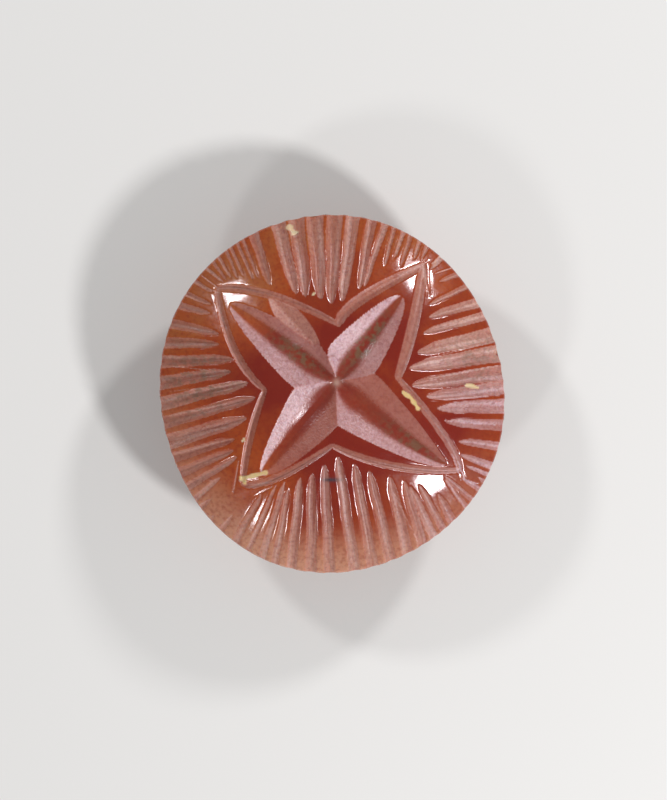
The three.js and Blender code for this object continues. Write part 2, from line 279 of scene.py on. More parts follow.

# %% [markdown]
# ## The star
# Each petal is a pointed leaf, cut as two flat walls that fall to a valley, and no two are alike. A wall's
# numbers are its width, the share of the length at which it is widest, and how bluntly it closes to the
# tip. Left is as seen from the star's centre, and "valley" is how far the valley bows out to that side.
# Ground stone looks paler than polished stone. Here that is called frost, from 0 to 1, given for the left
# and the right wall. It is partly painted light: a wall that faces the stronger lamps is painted paler. The
# upper left petal has a second, shallower stroke along its right side.

# %% Sizes of the petals
STAR_CENTRE = np.array([0.28, 0.62])
# A wall's frost is partly painted light: the wall facing the stronger lamps is paler.
PETALS = [
    {
        "bearing": 52.7, "length": 5.3, "valley": 0.03,
        "left": (1.38, 0.29, 0.5), "right": (1.3, 0.3, 0.45), "frost_and_painted_light": (1.0, 0.35),
    },
    {
        "bearing": 144.3, "length": 6.55, "valley": 0.05,
        "left": (1.55, 0.29, 0.58), "right": (1.05, 0.42, 0.5), "frost_and_painted_light": (0.65, 0.2),
    },
    {
        "bearing": 230.5, "length": 5.9, "valley": -0.05,
        "left": (1.46, 0.34, 0.42), "right": (1.46, 0.29, 0.6), "frost_and_painted_light": (0.05, 0.95),
    },
    {
        "bearing": 322.7, "length": 6.85, "valley": -0.28,
        "left": (1.45, 0.25, 0.72), "right": (1.78, 0.23, 0.55), "frost_and_painted_light": (0.08, 0.6),
    },
]
SIDE_STROKE = {
    "bearing": 132, "start": 1.6, "offset": -0.35,
    "length": 3.9, "width": 0.62, "depth": 0.3, "frost_and_painted_light": 0.4,
}
print("petals:", len(PETALS))

# %% [markdown]
# ## How a petal is cut
# From above, a wall flares out from the star's centre and tapers to the tip. The valley falls to where the
# petal is widest and rises again. Its floor is a narrow strip, because no wheel grinds a sharp line.

# %% Petal strokes
PETAL_DEPTH = 0.6
CENTRE_DEPTH = 0.34
PETAL_OVERLAP = 0.3
LEAST_WALL_WIDTH = 0.03
SHOULDER_SOFTNESS = 0.16
DEEPEST_SOFTNESS = 0.12
TIP_BLUNTNESS = 0.6
TIP_SLOPE = 0.8
CENTRE_SLOPE = 3
VALLEY_FLOOR_HALF = 0.0715
VALLEY_FLOOR_SHARE = 0.275
VALLEY_ROUNDING = 0.06
SIDE_BLUNTNESS = 0.6
SIDE_LEAST_WIDTH = 0.05


def wall_width(share, width, widest, closing):
    """A wall's width at a share of the petal's length."""
    flare = width * np.sin(np.pi / 2 * np.clip(share / widest, 0, 1))
    taper = width * (np.clip(1 - share, 0, 1) / (1 - widest)) ** closing
    return np.maximum(shallower(flare, taper, SHOULDER_SOFTNESS), LEAST_WALL_WIDTH)


def valley_depth(share, widest):
    """The valley's depth at a share of the petal's length."""
    falling = CENTRE_DEPTH + (PETAL_DEPTH - CENTRE_DEPTH) * share / widest
    rising = PETAL_DEPTH * ((1 - share) / (1 - widest)) ** TIP_BLUNTNESS
    return shallower(falling, rising, DEEPEST_SOFTNESS)


def petal_stroke(x, y, petal):
    """Depth of one petal, nearness to its valley (1 there, 0 at the petal's edge) and frost with painted
    light.
    """
    along, across = along_and_across(x, y, STAR_CENTRE, petal["bearing"])
    share = np.clip((along + PETAL_OVERLAP) / (petal["length"] + PETAL_OVERLAP), 0, 1)
    valley = petal["valley"] * 4 * share * (1 - share)
    offset = across - valley
    left = wall_width(share, *petal["left"]) - valley
    right = wall_width(share, *petal["right"]) + valley
    width = np.maximum(np.where(offset > 0, left, right), LEAST_WALL_WIDTH)
    floor_half = np.minimum(VALLEY_FLOOR_HALF, VALLEY_FLOOR_SHARE * width)
    away = np.abs(offset)
    rounded = np.sqrt(away ** 2 + VALLEY_ROUNDING ** 2) - VALLEY_ROUNDING
    depth = valley_depth(share, (petal["left"][1] + petal["right"][1]) / 2)
    wall = depth * (1 - np.maximum(rounded - floor_half, 0) / (width - floor_half))
    stroke = with_outside(wall, away, width)
    stroke = np.minimum(stroke, (petal["length"] - along) * TIP_SLOPE)
    stroke = np.minimum(stroke, (along + PETAL_OVERLAP) * CENTRE_SLOPE)
    inside = stroke > 0
    near_valley = np.clip(1 - away / width, 0, 1) * inside
    return stroke, near_valley, np.where(offset > 0, *petal["frost_and_painted_light"]) * inside


def side_stroke(x, y):
    """Depth of the second stroke at the upper left petal."""
    aim = heading(SIDE_STROKE["bearing"])
    start = STAR_CENTRE + SIDE_STROKE["offset"] * leftward(aim) + SIDE_STROKE["start"] * aim
    along, across = along_and_across(x, y, start, SIDE_STROKE["bearing"])
    share = np.clip(along / SIDE_STROKE["length"], 0, 1)
    swell = np.maximum(np.sin(np.pi * share), 0) ** SIDE_BLUNTNESS
    width = np.maximum(SIDE_STROKE["width"] * swell, SIDE_LEAST_WIDTH)
    away = np.abs(across)
    stroke = with_outside(SIDE_STROKE["depth"] * swell * (1 - away / width), away, width)
    return np.minimum(stroke, np.minimum(along, SIDE_STROKE["length"] - along))


print("a petal is", PETAL_DEPTH, "mm deep")

# %% [markdown]
# ## The curved border
# From a point beyond each petal's tip, one arc runs down each side to the crotch between two petals.
# "tip_gap" is that point's distance from the tip, and "swing" its turn from the petal's bearing. An arc's
# numbers say where along it the bend is, and how far it is pulled out. A crotch is a bearing and a distance
# from the star's centre.

# %% Arcs of the border
BORDERS = [
    {"tip_gap": 1.9, "swing": 0.5, "width": 0.6, "left": (0.88, 0.8), "right": (0.57, 0.3)},
    {"tip_gap": 1.0, "swing": -1.9, "width": 0.42, "left": (0.63, 1.05), "right": (0.32, 0.88)},
    {"tip_gap": 1.05, "swing": -3, "width": 0.4, "left": (0.2, 0.75), "right": (0.46, 0.36)},
    {"tip_gap": 0.7, "swing": 1.3, "width": 0.42, "left": (0.2, 0.6), "right": (0.53, 0.83)},
]
CROTCHES = [(88.5, 2.8), (187, 3.6), (265.5, 3.2), (3, 3)]
ARC_STEPS = 120


def border_arc(tip, crotch, bend_at, bulge):
    """Points along one arc. A positive bulge bends it to its left on the way in."""
    crotch_bearing, crotch_distance = crotch
    foot = STAR_CENTRE + crotch_distance * heading(crotch_bearing)
    aim = (foot - tip) / np.linalg.norm(foot - tip)
    bend = tip + bend_at * (foot - tip) + bulge * leftward(aim)
    share = np.linspace(0, 1, ARC_STEPS)[:, None]
    return (1 - share) ** 2 * tip + 2 * share * (1 - share) * bend + share ** 2 * foot


def border_arcs():
    """The two arcs of each petal, as points and a width."""
    arcs = []
    for i, (petal, border) in enumerate(zip(PETALS, BORDERS)):
        tip_bearing = petal["bearing"] + border["swing"]
        tip = STAR_CENTRE + (petal["length"] + border["tip_gap"]) * heading(tip_bearing)
        for side, crotch, outward in (("left", CROTCHES[i], -1), ("right", CROTCHES[i - 1], 1)):
            bend_at, bulge = border[side]
            arcs.append((border_arc(tip, crotch, bend_at, outward * bulge), border["width"]))
    return arcs


arcs = border_arcs()
print("border arcs:", len(arcs))

# %% [markdown]
# ## How an arc is cut
# An arc is a shallow round trough, narrower and shallower at both ends, where the wheel came down and
# lifted off. Only the points near an arc are measured, which keeps the formula quick.

# %% Border strokes
BORDER_DEPTH = 0.17
BORDER_FROST = 0.2
BORDER_NEAR = 1
BORDER_FAR_DEPTH = -1.0
BORDER_BLUNTNESS = 0.4
BORDER_END_WIDTH = 0.5
BORDER_END_DEPTH = 0.35
BORDER_ROUNDNESS = 2.2


def border_stroke(x, y, points, width):
    """Depth of one border arc."""
    low = points.min(axis=0) - BORDER_NEAR
    high = points.max(axis=0) + BORDER_NEAR
    near = (x > low[0]) & (x < high[0]) & (y > low[1]) & (y < high[1])
    away = np.hypot(x[near][:, None] - points[:, 0], y[near][:, None] - points[:, 1])
    share = away.argmin(axis=1) / (ARC_STEPS - 1)
    away = away.min(axis=1)
    swell = np.maximum(np.sin(np.pi * share), 0) ** BORDER_BLUNTNESS
    half = width / 2 * rise_to_one(BORDER_END_WIDTH, swell)
    trough = 1 - (away / half) ** BORDER_ROUNDNESS
    inside = BORDER_DEPTH * rise_to_one(BORDER_END_DEPTH, swell) * trough
    stroke = np.full_like(x, BORDER_FAR_DEPTH)
    stroke[near] = with_outside(inside, away, half)
    return stroke


print("border depth", BORDER_DEPTH, "mm")

# %% [markdown]
# ## The rays
# Seventy straight cuts run from the border out over the rim, spaced by eye. Each has four numbers: its
# bearing at the rim, its lean from the radius in degrees, its width at the rim, and its gap to the border.

# %% The seventy rays
UPPER_RAYS = [
    (57, 8.5, 0.3, 0.1), (60, 11, 0.25, 0.25), (63.5, 9, 0.25, 0.15), (66, 3.5, 0.25, 1.0),
    (69.5, 7.5, 0.25, 0.7), (72.5, -1, 0.35, 0.25), (77, 3, 0.5, 0.25), (83, -0.5, 0.65, 0.3),
    (89, -1, 0.75, 0.6), (95.5, -1, 0.8, 0.6), (101.5, -4, 0.75, 0.4), (107.5, -3, 0.7, 0.35),
    (116, -8, 0.5, 0.35), (120, -8, 0.2, 0.6), (122, -9, 0.2, 0.4), (124.5, -11, 0.2, 0.5),
    (126.5, -13, 0.2, 0.3), (129.5, -10, 0.2, 0.3), (132, -5, 0.2, 0.2), (135, 5, 0.2, 0.1),
]
LEFT_RAYS = [
    (140.5, 5.5, 0.25, 0.05), (145.5, 11, 0.3, 0.25), (150, 15, 0.4, 0.4), (156.5, 11.5, 0.5, 0.25),
    (163, 15, 0.55, 0.4), (169.5, 12.5, 0.6, 0.05), (176.5, 12.5, 0.65, 0.5), (183.5, 10, 0.65, 0.1),
    (190, 5.5, 0.6, 0.15), (196.5, 0.5, 0.75, 0.25), (202, -5, 0.5, 0.6), (207.5, -4.5, 0.5, 0.6),
    (213, -1.5, 0.4, 0.35), (217.5, 1.5, 0.35, 1.3),
]
LOWER_RAYS = [
    (221, 0, 0.35, 1.9), (226, 1, 0.35, 1.9), (231, 2, 0.35, 1.6), (237, 4, 0.4, 0.5),
    (242, 4.5, 0.3, 0.2), (247, 6, 0.4, 0.25), (251.5, 8, 0.4, 0.65), (257, 7, 0.5, 0.4),
    (263.5, 6, 0.55, 0.5), (269.5, 3.5, 0.55, 0.45), (277.5, 1, 0.55, 0.2), (283.5, -3, 0.55, 0.25),
    (289.5, -6, 0.55, 0.35), (295.5, -12, 0.55, 0.4), (301, -14.5, 0.5, 0.5), (305.5, -10, 0.45, 0.8),
    (309.5, -10, 0.4, 0.7), (313.5, -14.5, 0.5, 1.1), (320, -11.5, 0.3, 0.25), (323, -3, 0.3, 0.1),
    (327, -1, 0.3, 0.3),
]
RIGHT_RAYS = [
    (330, -5, 0.25, 0.9), (332.5, 3.5, 0.25, 0.2), (335.5, 3, 0.4, 0.05), (342.5, 10, 0.45, 0.35),
    (349.5, 7, 0.55, 0.35), (356, 6, 0.7, 0.4), (2, 4.5, 0.65, 0.35), (7, 1, 0.75, 0.1),
    (13.5, -4, 0.8, 0.1), (20, -7, 0.75, 0.25), (27, -11, 0.45, 0.35), (32, -15, 0.5, 0.45),
    (38.5, -11.5, 0.3, 0.4), (43.5, -20, 0.3, 0.7), (51, -6, 0.35, 0.1),
]
ALL_RAYS = UPPER_RAYS + LEFT_RAYS + LOWER_RAYS + RIGHT_RAYS
print("rays:", len(ALL_RAYS))

# %% [markdown]
# ## How a ray is cut
# A ray runs inwards from the rim until it comes near a border arc, narrows as it goes and ends in a point.
# Its edges wander a little, and its bed keeps fine lengthwise scratches. RAY_OPENING widens every ray a
# little, because a round trough looks narrower than it is. The rays at the lower left are worn shallow.
# Each ray has four random angles, drawn once from a fixed seed, so that no two rays wander alike.

# %% Ray strokes
RAY_PHASES = np.random.default_rng(17).uniform(0, 2 * np.pi, (len(ALL_RAYS), 4))
RAY_DEPTH_SHARE = 0.42
RAY_OPENING = 1.18
RAY_INNER_WIDTH_SHARE = 0.65
RAY_LEAST_HALF_WIDTH = 0.02
RAY_POINT_IN_WIDTHS = 1.3
RAY_ROUNDNESS = 1.9
RAY_OVERRUN = 0.6
RAY_SEARCH_STEP = 0.05
LONGEST_LOOSE_RAY = 2.4
WORN_FROM, WORN_TO = 216, 252
WORN_DEPTH_SHARE = 0.55
WANDERS = ((0.014, 2.3), (0.006, 6.1))
SCRATCH_DEPTH_SHARE = 0.05
WIDE_SCRATCH_PACE, NARROW_SCRATCH_PACE, SCRATCH_SLANT = 31, 53, 0.8


def run_to_border(rim_point, aim):
    """How far a ray can run in from the rim before it meets the border."""
    for run in np.arange(0, MEAN_RADIUS, RAY_SEARCH_STEP):
        here = rim_point - run * aim
        for points, width in arcs:
            if np.hypot(points[:, 0] - here[0], points[:, 1] - here[1]).min() < width / 2:
                return run
    return LONGEST_LOOSE_RAY


def ray_stroke(x, y, ray, phases):
    """Depth of one ray, with the way along it and the way across it in half widths."""
    bearing, lean, width, gap = ray
    rim_point = outline(math.radians(bearing)) * heading(bearing)
    aim = heading(bearing + lean)
    length = run_to_border(rim_point, aim) - gap + RAY_OVERRUN
    inner = rim_point + (RAY_OVERRUN - length) * aim
    along, across = along_and_across(x, y, inner, bearing + lean)
    for (height, pace), phase in zip(WANDERS, phases):
        across = across + height * np.sin(along * pace + phase)
    spread = rise_to_one(RAY_INNER_WIDTH_SHARE, np.clip(along / length, 0, 1))
    opening = np.sqrt(np.clip(along / (RAY_POINT_IN_WIDTHS * width), 0, 1))
    half = np.maximum(RAY_OPENING * width / 2 * spread * opening, RAY_LEAST_HALF_WIDTH)
    worn = WORN_DEPTH_SHARE if WORN_FROM < bearing < WORN_TO else 1.0
    depth = width * RAY_DEPTH_SHARE * spread * opening * worn
    scratches = np.sin(across * WIDE_SCRATCH_PACE + phases[2])
    scratches = scratches + np.sin(across * NARROW_SCRATCH_PACE + along * SCRATCH_SLANT + phases[3])
    away = np.abs(across)
    trough = 1 - np.minimum(away / half, 1) ** RAY_ROUNDNESS
    stroke = with_outside(depth * trough * (1 + SCRATCH_DEPTH_SHARE * scratches), away, half)
    return np.minimum(stroke, along), along, across / half


print("random angles:", RAY_PHASES.size)

# %% [markdown]
# ## The frost and painted highlight of a ray
# A ray's bed is a little frosty. Along one line it is painted much paler, a painted highlight where one side
# of the trough catches the lamps. The line drifts and fades on its way.

# %% Ray frost and painted highlight
LEAST_FROST = 0.12
BED_FROST = 0.16
# A painted highlight: one pale line along each ray, where the lamps catch its side.
HIGHLIGHT_LINE_PALENESS = 0.55
HIGHLIGHT_LINE_WIDTH = 0.24
HIGHLIGHT_LINE_SIDE, HIGHLIGHT_LINE_DRIFT, HIGHLIGHT_LINE_DRIFT_PACE = 0.5, 0.15, 0.9
FADE_SHARE, FADE_PACE = 0.25, 1.7


def ray_frost_and_highlight(along, across_share, phases):
    """Frost and a painted highlight line at points of a ray. across_share is -1 and 1 at the ray's edges."""
    highlight_at = HIGHLIGHT_LINE_SIDE * np.sin(phases[2]) + HIGHLIGHT_LINE_DRIFT * np.sin(along * HIGHLIGHT_LINE_DRIFT_PACE + phases[1])
    highlight_line = np.exp(-((across_share - highlight_at) / HIGHLIGHT_LINE_WIDTH) ** 2)
    fading = (1 - FADE_SHARE) + FADE_SHARE * np.sin(along * FADE_PACE + phases[3])
    return LEAST_FROST + (BED_FROST * (1 + np.sin(phases[0])) + HIGHLIGHT_LINE_PALENESS * highlight_line) * fading


print("most frost: %.2f" % (LEAST_FROST + 2 * BED_FROST + HIGHLIGHT_LINE_PALENESS))

# %% [markdown]
# ## Slips of the wheel
# Where strokes meet, the wheel ran on a little or slipped beside its line. Each of these scratches is a
# straight line between two points, with a width, and is cut into whatever lies under it.

# %% Slips
SLIP_DEPTH_SHARE = 0.24
SLIP_END_WIDTH_SHARE = 0.45
SLIP_FROST = 0.7
SLIPS = [
    ((4.5, 6.75), (4.85, 4.8), 0.14), ((4.9, 6.2), (5.0, 4.9), 0.1), ((3.3, 5.85), (4.9, 6.65), 0.12),
    ((5.0, 6.5), (5.7, 7.0), 0.16), ((5.2, 6.0), (6.2, 6.35), 0.14), ((-5.7, 5.3), (-6.5, 5.9), 0.14),
    ((-5.55, 5.0), (-6.3, 5.3), 0.12), ((-5.9, 4.9), (-5.2, 3.2), 0.12), ((6.3, -3.4), (6.7, -4.4), 0.16),
    ((6.0, -3.0), (6.45, -4.3), 0.12), ((6.6, -4.3), (7.3, -4.5), 0.14), ((-4.6, -3.3), (-4.9, -5.0), 0.14),
    ((-4.2, -4.7), (-2.6, -4.3), 0.12), ((-3.8, -5.1), (-2.9, -4.6), 0.1), ((-7.9, 1.35), (-5.9, 1.15), 0.1),
    ((-8.2, 0.1), (-5.6, 0.35), 0.1), ((-8.1, -1.1), (-5.2, -0.5), 0.1), ((-7.8, -2.3), (-5.0, -1.6), 0.1),
    ((4.6, 1.7), (8.1, 2.6), 0.1), ((4.9, 0.75), (8.3, 1.4), 0.1), ((4.8, -0.4), (8.4, -0.1), 0.1),
    ((5.6, -1.35), (8.2, -1.55), 0.1), ((-0.25, 5.0), (-0.5, 8.2), 0.1), ((-1.6, 5.2), (-2.3, 8.0), 0.1),
    ((0.75, 5.0), (1.2, 8.1), 0.1), ((-0.6, -4.4), (-0.9, -8.2), 0.1), ((1.3, -4.6), (1.9, -8.0), 0.1),
    ((3.1, -4.9), (4.3, -7.4), 0.1),
]


def place_on_line(x, y, start, end):
    """How far along a line a point lies, as a share, and its distance from the line."""
    start, end = np.array(start), np.array(end)
    run = end - start
    share = np.clip(((x - start[0]) * run[0] + (y - start[1]) * run[1]) / (run @ run), 0, 1)
    return share, np.hypot(x - start[0] - share * run[0], y - start[1] - share * run[1])


def slip_stroke(x, y, start, end, width):
    """Depth of one slip, positive only on it."""
    share, away = place_on_line(x, y, start, end)
    half = width / 2 * rise_to_one(SLIP_END_WIDTH_SHARE, np.sin(np.pi * share))
    return width * SLIP_DEPTH_SHARE * (1 - away / half)


print("slips:", len(SLIPS))

# %% [markdown]
# ## Flakes of old residue
# Thin flakes of old yellow and cream residue lie in a few strokes, raised by a few hundredths of a
# millimetre. Each is a short thick line between two points, with half its width and how yellow it is.

# %% Flakes
FLAKES = {
    "petal_flake_upper": ((3.55, 0.05), (4.0, -0.25), 0.14, 1.0),
    "petal_flake_lower": ((3.95, -0.2), (4.3, -0.72), 0.15, 1.0),
    "right_flake": ((6.7, 0.42), (7.3, 0.3), 0.14, 0.5),
    "left_flake": ((-4.5, -4.2), (-3.25, -3.95), 0.15, 0.85),
    "left_flake_drip": ((-4.35, -4.2), (-4.3, -4.45), 0.13, 0.85),
    "top_residue": ((-2.1, 8.35), (-1.85, 8.05), 0.22, 0.35),
    "left_speck": ((-4.4, -2.35), (-4.35, -2.25), 0.1, 0.3),
    "upper_speck": ((-0.9, 4.9), (-0.85, 4.95), 0.1, 0.4),
}
FLAKE_HEIGHT = 0.06
FLAKE_MEAN_SHARE = 0.7
FLAKE_RAGGEDNESS = 0.18
FLAKE_WAVES = ((9, 5), (-6, 13))
FLAKE_SOLID_TO, FLAKE_ENDS_AT = 0.75, 1.15


def flake_cover(x, y):
    """How fully residue covers a point, and how yellow it is there."""
    cover = np.zeros_like(x)
    yellow = np.zeros_like(x)
    ragged = FLAKE_MEAN_SHARE
    for right_pace, up_pace in FLAKE_WAVES:
        ragged = ragged + FLAKE_RAGGEDNESS * np.sin(x * right_pace + y * up_pace)
    for start, end, half, tint in FLAKES.values():
        _, away = place_on_line(x, y, start, end)
        here = 1 - smooth_step(away, half * ragged * FLAKE_SOLID_TO, half * ragged * FLAKE_ENDS_AT)
        yellow = np.where(here > cover, tint, yellow)
        cover = np.maximum(cover, here)
    return cover, yellow


print("flakes:", len(FLAKES))

# %% [markdown]
# ## The whole carving
# One function cuts every stroke in turn: first the border, then the rays, the slips, the side stroke and
# last the petals, whose walls run over all the others. It gives the frost, with its painted light, and the
# nearness to a petal's valley too, so that shape and colour always agree.

# %% Carving
VALLEY_TOLERANCE = 0.01


def carving(x, y):
    """Depth, nearness to a petal's valley, and frost with painted light at points of the face."""
    depth = np.zeros_like(x)
    for points, width in arcs:
        depth = cut(depth, border_stroke(x, y, points, width))
    frost_and_painted_light = BORDER_FROST * (depth > 0)
    for ray, phases in zip(ALL_RAYS, RAY_PHASES):
        stroke, along, across_share = ray_stroke(x, y, ray, phases)
        deepest = (stroke > 0) & (stroke > depth)
        frost_and_painted_light = np.where(deepest, ray_frost_and_highlight(along, across_share, phases), frost_and_painted_light)
        depth = cut(depth, stroke)
    for start, end, width in SLIPS:
        stroke = slip_stroke(x, y, start, end, width)
        frost_and_painted_light = np.where(stroke > 0, np.maximum(frost_and_painted_light, SLIP_FROST), frost_and_painted_light)
        depth = np.where(stroke > 0, depth + stroke, depth)
    stroke = side_stroke(x, y)
    frost_and_painted_light = np.where((stroke > 0) & (stroke > depth), SIDE_STROKE["frost_and_painted_light"], frost_and_painted_light)
    depth = cut(depth, stroke)
    valley = np.zeros_like(x)
    for petal in PETALS:
        stroke, near_valley, wall_frost_and_light = petal_stroke(x, y, petal)
        deepest = (stroke > 0) & (stroke >= depth - VALLEY_TOLERANCE)
        valley = np.where(deepest, near_valley, valley)
        frost_and_painted_light = np.where(deepest, wall_frost_and_light, frost_and_painted_light)
        depth = cut(depth, stroke)
    return depth, valley, frost_and_painted_light


summit_depth, _, _ = carving(np.zeros(1), np.zeros(1))
print("depth at the summit: %.3f mm" % summit_depth[0])

# %% [markdown]
# ## Wear and polish
# Wear and hand polish leave the untouched stone very slightly wavy, which breaks up its reflections. The
# waves only ever take stone away, and towards the rim they fade to one even loss.

# %% Polish waves
SWELL_HEIGHT = 0.012
SWELL_PACES = (1.3, 1.7)
SWELL_STARTS = (0.7, 0.3)
RIPPLES = ((0.005, 4.1, 2.2), (0.004, -3.1, 5.3))
POLISH_LOSS = 0.012
POLISH_FADES_FROM = 7.8


def hand_polish(x, y):
    """Height of the polish's waves, above and below their mean."""
    swell_right = np.sin(x * SWELL_PACES[0] + SWELL_STARTS[0])
    swell_up = np.sin(y * SWELL_PACES[1] + SWELL_STARTS[1])
    waves = SWELL_HEIGHT * swell_right * swell_up
    for height, right_pace, up_pace in RIPPLES:
        waves = waves + height * np.sin(x * right_pace + y * up_pace)
    return waves


def polish_depth(x, y, radius):
    """How much stone the polish takes off, never below 0."""
    fade = 1 - smooth_step(radius, POLISH_FADES_FROM, EDGE_RADIUS)
    return np.maximum(POLISH_LOSS - hand_polish(x, y) * fade, 0)


print("polish takes off about", POLISH_LOSS, "mm")

# %% [markdown]
# ## The stone's skin
# The mesh is a set of rings, from the top of the dome out over the girdle and in to the rest flat. Each has
# as many points as its length needs. The face is fine, to hold the scratches, and the back is coarser. A
# plain grid would leave steps at the rim, and rings with equal counts would crowd at the centre.

# %% Rings
FACE_RINGS = 158
GIRDLE_RINGS = 8
FINE_GIRDLE_RINGS = 4
BACK_RINGS = 26
FACE_STEP = EDGE_RADIUS / FACE_RINGS
LOWER_GIRDLE_FINENESS = 0.6
BACK_FINENESS = 0.25
BACK_EXTRA = 4
FLAT_STEPS = 12


def stone_rings():
    """Each ring's radius, height and number of points."""
    rings = []
    for ring in range(1, FACE_RINGS + 1):
        radius = FACE_STEP * ring
        rings.append((radius, face_height(radius), ring))
    for ring in range(1, GIRDLE_RINGS):
        turn = np.pi * ring / GIRDLE_RINGS
        radius = EDGE_RADIUS + GIRDLE_BULGE * np.sin(turn)
        height = BACK_DEPTH + GIRDLE_HEIGHT / 2 * (1 + np.cos(turn))
        fineness = 1 if ring <= FINE_GIRDLE_RINGS else LOWER_GIRDLE_FINENESS
        rings.append((radius, height, FACE_RINGS * fineness))
    for ring in range(BACK_RINGS + 1):
        radius = EDGE_RADIUS + (FLAT_RADIUS - EDGE_RADIUS) * ring / BACK_RINGS
        rings.append((radius, back_height(radius), radius / FACE_STEP * BACK_FINENESS + BACK_EXTRA))
    rings.append((FLAT_RADIUS / 2, 0.0, FLAT_STEPS))
    return [(radius, height, round(2 * np.pi * steps)) for radius, height, steps in rings]


rings = stone_rings()
print("rings:", len(rings), "points:", sum(count for _, _, count in rings))

# %% [markdown]
# ## Points of the skin
# The carving moves the plain pebble's points. On the face each goes straight down by the depth of the
# carving and the polish, and up where a flake lies. Where the rays cut the rim, they also move inwards.

# %% Points
RIM_NOTCH_SHARE = 0.16
RIM_WIDTH = 0.2
RIM_FADES_FROM, RIM_FULL_AT = 2.9, 3.7
ABOVE_MIDDLE = 0.01


def ring_points():
    """Each point's angle, its radius before the swellings, and its height."""
    turn = np.concatenate([2 * np.pi * np.arange(count) / count for _, _, count in rings])
    radius = np.concatenate([np.full(count, ring_radius) for ring_radius, _, count in rings])
    height = np.concatenate([np.full(count, ring_height) for _, ring_height, count in rings])
    return turn, radius, height


def rim_notches(x, y, radius, height):
    """How far the rays draw the rim in, as a share of the radius."""
    at_rim = smooth_step(radius, EDGE_RADIUS - RIM_WIDTH, EDGE_RADIUS)
    at_rim = at_rim * smooth_step(height, RIM_FADES_FROM, RIM_FULL_AT)
    near = at_rim > 0
    depth, _, _ = carving(x[near], y[near])
    notch = np.zeros_like(x)
    notch[near] = at_rim[near] * np.clip(depth, 0, None) * RIM_NOTCH_SHARE / MEAN_RADIUS
    return notch


def carved_height(x, y, radius):
    """Height of the finished face."""
    depth, _, _ = carving(x, y)
    cover, _ = flake_cover(x, y)
    return face_height(radius) - depth + cover * FLAKE_HEIGHT - polish_depth(x, y, radius)


def skin_points():
    """The points of all rings, then the summit and the middle of the rest flat."""
    turn, radius, height = ring_points()
    stretch = outline(turn) / MEAN_RADIUS
    x, y = radius * stretch * np.cos(turn), radius * stretch * np.sin(turn)
    notched = 1 - rim_notches(x, y, radius, height)
    x, y = x * notched, y * notched
    on_top = height > GIRDLE_MIDDLE + ABOVE_MIDDLE
    carved = carved_height(x[on_top], y[on_top], radius[on_top])
    height[on_top] = np.minimum(height[on_top], carved)
    summit = [0, 0, EDGE_HEIGHT + FACE_RISE - summit_depth[0] - POLISH_LOSS]
    return np.vstack([np.stack([x, y, height], axis=1), summit, [0, 0, 0]])


points_of_skin = skin_points()
print("top at %.3f mm" % points_of_skin[:, 2].max())

# %% [markdown]
# ## Facets of the skin
# Two neighbouring rings are zipped together by walking round both at once: each step goes on along the ring
# that is further behind, and closes one triangle. Fans of triangles close the summit and the rest flat.

# %% Facets
def zip_rings(first, second):
    """Triangles between two rings, walked round together."""
    steps = [np.arange(1, len(ring) + 1) / len(ring) for ring in (first, second)]
    order = np.argsort(np.concatenate(steps), kind="stable")
    on_first = order < len(first)
    i = np.cumsum(on_first) - on_first
    j = np.cumsum(~on_first) - ~on_first
    ahead = np.where(on_first, first[(i + 1) % len(first)], second[(j + 1) % len(second)])
    return np.stack([first[i % len(first)], second[j % len(second)], ahead], axis=1)


def skin_facets():
    """Triangles from the summit, ring by ring, to the middle of the rest flat."""
    starts = np.cumsum([0] + [count for _, _, count in rings])
    numbers = [np.arange(start, end) for start, end in zip(starts, starts[1:])]
    first, last = numbers[0], numbers[-1]
    summit, foot = starts[-1], starts[-1] + 1
    facets = [np.stack([np.full(len(first), summit), first, np.roll(first, -1)], axis=1)]
    facets += [zip_rings(upper, lower) for upper, lower in zip(numbers, numbers[1:])]
    facets.append(np.stack([last, np.full(len(last), foot), np.roll(last, -1)], axis=1))
    return np.vstack(facets)


stone_mesh = bpy.data.meshes.new("carved_stone")
stone_mesh.from_pydata((points_of_skin * MM).tolist(), [], skin_facets().tolist())
stone_mesh.update()
uncut = bpy.data.objects.new("uncut_stone", stone_mesh)
bpy.context.collection.objects.link(uncut)
print("facets:", len(stone_mesh.polygons))

# %% [markdown]
# ## The drill
# The string hole was drilled from both sides until the two bores met, so it is a pair of long cones, narrow
# ends together, and so is the tool for it. Slight rings in its wall are the marks of a hand drill.

# %% Drill
MOUTH_RADIUS = 0.95
WAIST_RADIUS = 0.65
HOLE_BELOW_MIDDLE = 0.15
HOLE_HEIGHT = GIRDLE_MIDDLE - HOLE_BELOW_MIDDLE - MOUTH_RADIUS
DRILL_REACH = MEAN_RADIUS + 1
DRILL_STEPS = 80
DRILL_SIDES = 48
DRILL_RING_HEIGHT, DRILL_RING_PACE = 0.012, 9


def bore_radius(x):
    """The hole's radius at a place along it."""
    cone = WAIST_RADIUS + (MOUTH_RADIUS - WAIST_RADIUS) * np.abs(x) / MEAN_RADIUS
    return cone + DRILL_RING_HEIGHT * np.sin(x * DRILL_RING_PACE)


